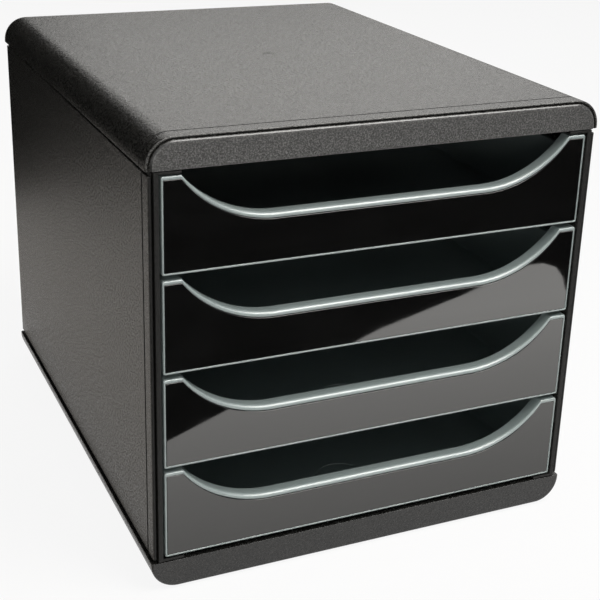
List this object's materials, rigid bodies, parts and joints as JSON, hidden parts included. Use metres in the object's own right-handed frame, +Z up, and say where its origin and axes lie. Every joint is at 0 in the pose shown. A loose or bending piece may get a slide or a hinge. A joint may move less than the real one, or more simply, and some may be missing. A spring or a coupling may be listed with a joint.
{
  "type": "letter tray stack with drawers",
  "caption": "Desk cabinet of sliding letter trays: black casing with rounded covers, grey-green trays with a finger scoop and glossy black fronts.",
  "frame": {"origin": "centre of the footprint, on the surface that the feet stand on", "axes": "+Z up, +Y towards the back panel, +X to the right seen from the front; the drawers open towards -Y"},
  "size_m": [0.278, 0.347, 0.271],
  "materials": {
    "casing": "fine moulded grain",
    "tray": "satin",
    "front": "high gloss",
    "foot": "matt"
  },
  "bodies": {
    "casing": {"top_cover": "casing", "base_cover": "casing", "left_side": "casing", "right_side": "casing", "back_panel": "casing", "foot_front_left": "foot", "foot_front_right": "foot", "foot_rear_left": "foot", "foot_rear_right": "foot"},
    "drawer_1": {"drawer_1_tray": "tray", "drawer_1_front": "front"},
    "drawer_2": {"drawer_2_tray": "tray", "drawer_2_front": "front"},
    "drawer_3": {"drawer_3_tray": "tray", "drawer_3_front": "front"},
    "drawer_4": {"drawer_4_tray": "tray", "drawer_4_front": "front"}
  },
  "joints": [
    {"name": "drawer_1_slide", "type": "slide", "parent": "casing", "child": "drawer_1", "axis": [0, -1, 0], "range_m": [0, 0.245]},
    {"name": "drawer_2_slide", "type": "slide", "parent": "casing", "child": "drawer_2", "axis": [0, -1, 0], "range_m": [0, 0.245]},
    {"name": "drawer_3_slide", "type": "slide", "parent": "casing", "child": "drawer_3", "axis": [0, -1, 0], "range_m": [0, 0.245]},
    {"name": "drawer_4_slide", "type": "slide", "parent": "casing", "child": "drawer_4", "axis": [0, -1, 0], "range_m": [0, 0.245]}
  ]
}
